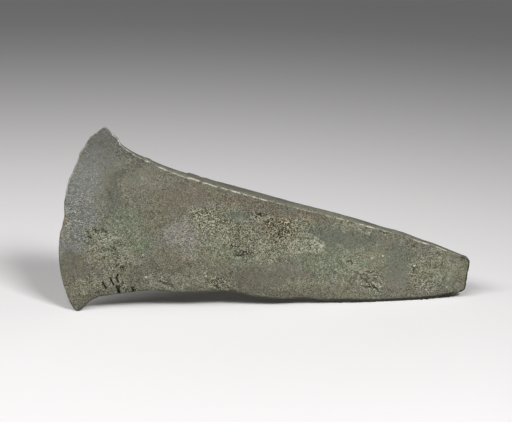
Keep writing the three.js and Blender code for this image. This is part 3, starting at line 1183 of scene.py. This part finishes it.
def patched_colour(shader, weights, noises):
    """Grey bronze with the patches laid over it in their order."""
    drift = shader.remap(noises.drift, *DRIFT_RANGE)
    unrest = shader.math("ADD", noises.cloud, noises.soft_grit)
    ragged = shader.math("MULTIPLY_ADD", unrest, RAGGEDNESS, -RAGGEDNESS)
    colour = shader.mix(drift, linear(BRONZE_GREY), linear(BRONZE_OLIVE))
    for name, patch_colour, cover in PATCHES:
        share = getattr(weights, name)
        if name not in SMOOTH_PATCHES:
            share = shader.remap(shader.math("ADD", share, ragged), *COVER_RANGE)
        colour = shader.mix(shader.times(share, cover), colour, linear(patch_colour))
    return colour


def grain_level(shader, weights, noises):
    """How bright the patina's grain is, from 0 to 1: soft where it is smooth, hard where rough."""
    soft = shader.remap(noises.soft_grit, *SOFT_RANGE)
    hard = shader.remap(shader.blend(0.5, noises.grit, noises.cells), *HARD_RANGE)
    harsh = shader.math("MULTIPLY_ADD", weights.rough, ROUGH_HARSHNESS, LEAST_HARSHNESS)
    harsh = shader.math("MULTIPLY_ADD", weights.crust, CRUST_HARSHNESS, harsh)
    return shader.blend(harsh, soft, hard)


def fine_pits(shader, weights, noises):
    """Small black pits: the rougher the crust, the more of the noise's low ends turn into them."""
    slashes = shader.math("ADD", noises.slashes, SLASH_LAG)
    holes = shader.math("MINIMUM", noises.dashes, slashes)
    holes = shader.math("SUBTRACT", holes, shader.times(weights.crust, CRUST_OPENING))
    deepness = shader.remap(weights.rough, *HOLE_ROUGHNESS)
    return shader.times(shader.remap(holes, *HOLE_RANGE), deepness)


def sprinkled_colour(shader, colour, weights, noises):
    """The colour with pale crumbs, glittering specks and single pale grains."""
    crumbs = shader.remap(shader.blend(CRUMB_BLEND, noises.grit, noises.soft_grit), *CRUMB_RANGE)
    crumbs = shader.times(crumbs, shader.remap(weights.rough, *CRUMB_ROUGHNESS))
    colour = shader.mix(crumbs, colour, linear(CRUMB))
    on_blade = shader.times(weights.speckled, weights.blade)
    glitter = shader.math("MULTIPLY_ADD", on_blade, BLADE_GLITTER, LEAST_GLITTER)
    specks = shader.times(shader.remap(noises.cells, *SPECK_RANGE), glitter)
    colour = shader.mix(specks, colour, linear(PALE_METAL_AND_GLINT))
    return shader.mix(shader.times(weights.grains, PALE_GRAIN_COVER), colour, linear(PALE_METAL_AND_GLINT))


def patina():
    """Old bronze: mottled grey, green and brown patina, dark pits partly painted as shade, pale
    worn arrises with painted highlights, painted light on the upper narrow side, and painted shade
    along the lower arris and behind the blade.
    """
    shader = Shader("patinated_bronze_skin")
    weights = shader.weights()
    noises = patina_noises(shader)
    level = grain_level(shader, weights, noises)
    small_pits = fine_pits(shader, weights, noises)

    colour = patched_colour(shader, weights, noises)
    colour = shader.tinted(colour, shader.mix(level, GRAIN_DARK, GRAIN_BRIGHT), 1)
    hues = shader.mix(shader.remap(noises.hue, *HUE_RANGE), WARM_HUE, COOL_HUE)
    colour = shader.tinted(colour, hues, HUE_SHARE)
    colour = sprinkled_colour(shader, colour, weights, noises)
    # The upper narrow side is painted paler, as painted light.
    side = shader.times(weights.side, shader.remap(noises.soft_grit, *SIDE_COVER_RANGE))
    colour = shader.mix(side, colour, linear(UPPER_SIDE_PAINTED_LIGHT))
    # The line along the lower arris is painted shade.
    colour = shader.mix(weights.lines, colour, linear(LINE_AND_SHADE_DARK))
    colour = shader.mix(small_pits, colour, linear(PIT_DARK_AND_SHADE))
    # The hollows are darkened, partly as dark corrosion and partly as painted shade.
    colour = shader.mix(weights.pit, colour, linear(PIT_DARK_AND_SHADE))
    colour = shader.mix(weights.cracks, colour, linear(CRACK_BLACK))
    # Pale worn metal on the arrises with painted highlights, and the painted glint on the cutting
    # edge's rim.
    worn = shader.times(weights.worn, shader.remap(noises.soft_grit, *WEAR_GLINT_COVER_RANGE))
    colour = shader.mix(worn, colour, linear(PALE_METAL_AND_GLINT))
    shader.put(shader.surface.inputs["Base Color"], colour)

    dull = shader.remap(noises.grit, *DULLNESS_RANGE)
    shader.put(shader.surface.inputs["Roughness"], dull)
    shader.put(shader.surface.inputs["Metallic"], shader.remap(weights.worn, *METAL_RANGE))
    hollow = shader.math("MAXIMUM", weights.pit, weights.cracks)
    hollow = shader.math("MAXIMUM", hollow, small_pits)
    shine = shader.times(shader.math("SUBTRACT", 1, hollow), SHINE)
    shader.put(shader.surface.inputs["Specular IOR Level"], shine)

    bump = shader.node("ShaderNodeBump")
    shader.put(bump.inputs["Strength"], 1)
    shader.put(bump.inputs["Distance"], BUMP_HEIGHT)
    height = shader.times(level, shader.remap(weights.rough, *BUMP_RANGE))
    shader.put(bump.inputs["Height"], height)
    shader.put(shader.surface.inputs["Normal"], bump.outputs["Normal"])
    return shader.material


def make_skin():
    """The axe's visible surface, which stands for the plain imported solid."""
    bm = smoothed(base)
    dice(bm)
    mesh = bpy.data.meshes.new("axe_head_skin")
    bm.to_mesh(mesh)
    bm.free()
    dress(mesh)
    mesh.shade_smooth()
    mesh.materials.append(patina())
    skin = bpy.data.objects.new("axe_head_skin", mesh)
    bpy.context.scene.collection.objects.link(skin)
    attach(skin, "root")
    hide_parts("axe_head")


def floor_material():
    """A pale floor with a painted pool of light round the object, painted darker towards grey away
    from it.
    """
    shader = Shader("floor")
    coordinates = shader.node("ShaderNodeTexCoord").outputs["Object"]
    away = shader.node("ShaderNodeVectorMath", coordinates, operation="LENGTH").outputs["Value"]
    ramp = shader.node("ShaderNodeValToRGB", away)
    ramp.color_ramp.interpolation = "LINEAR"
    stops = ramp.color_ramp.elements
    for i, (reach, share) in enumerate(FLOOR_PAINTED_FALLOFF):
        stop = stops[i] if i < len(stops) else stops.new(reach)
        stop.position = reach
        stop.color = [part * share for part in linear(FLOOR_PALE)[:3]] + [1]
    shader.put(shader.surface.inputs["Base Color"], ramp.outputs["Color"])
    shader.put(shader.surface.inputs["Roughness"], FLOOR_ROUGHNESS)
    shader.put(shader.surface.inputs["Specular IOR Level"], FLOOR_SHINE)
    return shader.material


def make_floor():
    bm = bmesh.new()
    bmesh.ops.create_circle(bm, cap_ends=True, radius=FLOOR_RADIUS, segments=FLOOR_SIDES)
    mesh = bpy.data.meshes.new("floor")
    bm.to_mesh(mesh)
    bm.free()
    floor = bpy.data.objects.new("floor", mesh)
    bpy.context.scene.collection.objects.link(floor)
    floor.location = box_place(LIGHT_POOL_SHARES) - Vector((0, LIGHT_POOL_FORWARD, 0))
    mesh.materials.append(floor_material())


def make_light(name, direction, width, height, power):
    data = bpy.data.lights.new(name, "AREA")
    data.shape = "RECTANGLE"
    data.size = width
    data.size_y = height
    data.energy = power
    light = bpy.data.objects.new(name, data)
    bpy.context.scene.collection.objects.link(light)
    light.location = direction.normalized() * LIGHT_DISTANCE
    light.rotation_mode = "QUATERNION"
    light.rotation_quaternion = direction.to_track_quat("Z", "Y")
    light.visible_camera = False
    return light


def make_lights():
    make_light("key", *KEY_LIGHT)
    make_light("side", *SIDE_LIGHT)
    # The back light comes in low, so it lights the far face and hardly the shadow on the floor.
    back = make_light("back", *BACK_LIGHT)
    back.visible_glossy = False
    world = bpy.data.worlds.new("studio")
    world.use_nodes = True
    background = world.node_tree.nodes["Background"]
    background.inputs["Color"].default_value = (1, 1, 1, 1)
    background.inputs["Strength"].default_value = WORLD_STRENGTH
    bpy.context.scene.world = world


make_skin()
make_floor()
make_lights()
bpy.context.scene.view_settings.view_transform = "Standard"
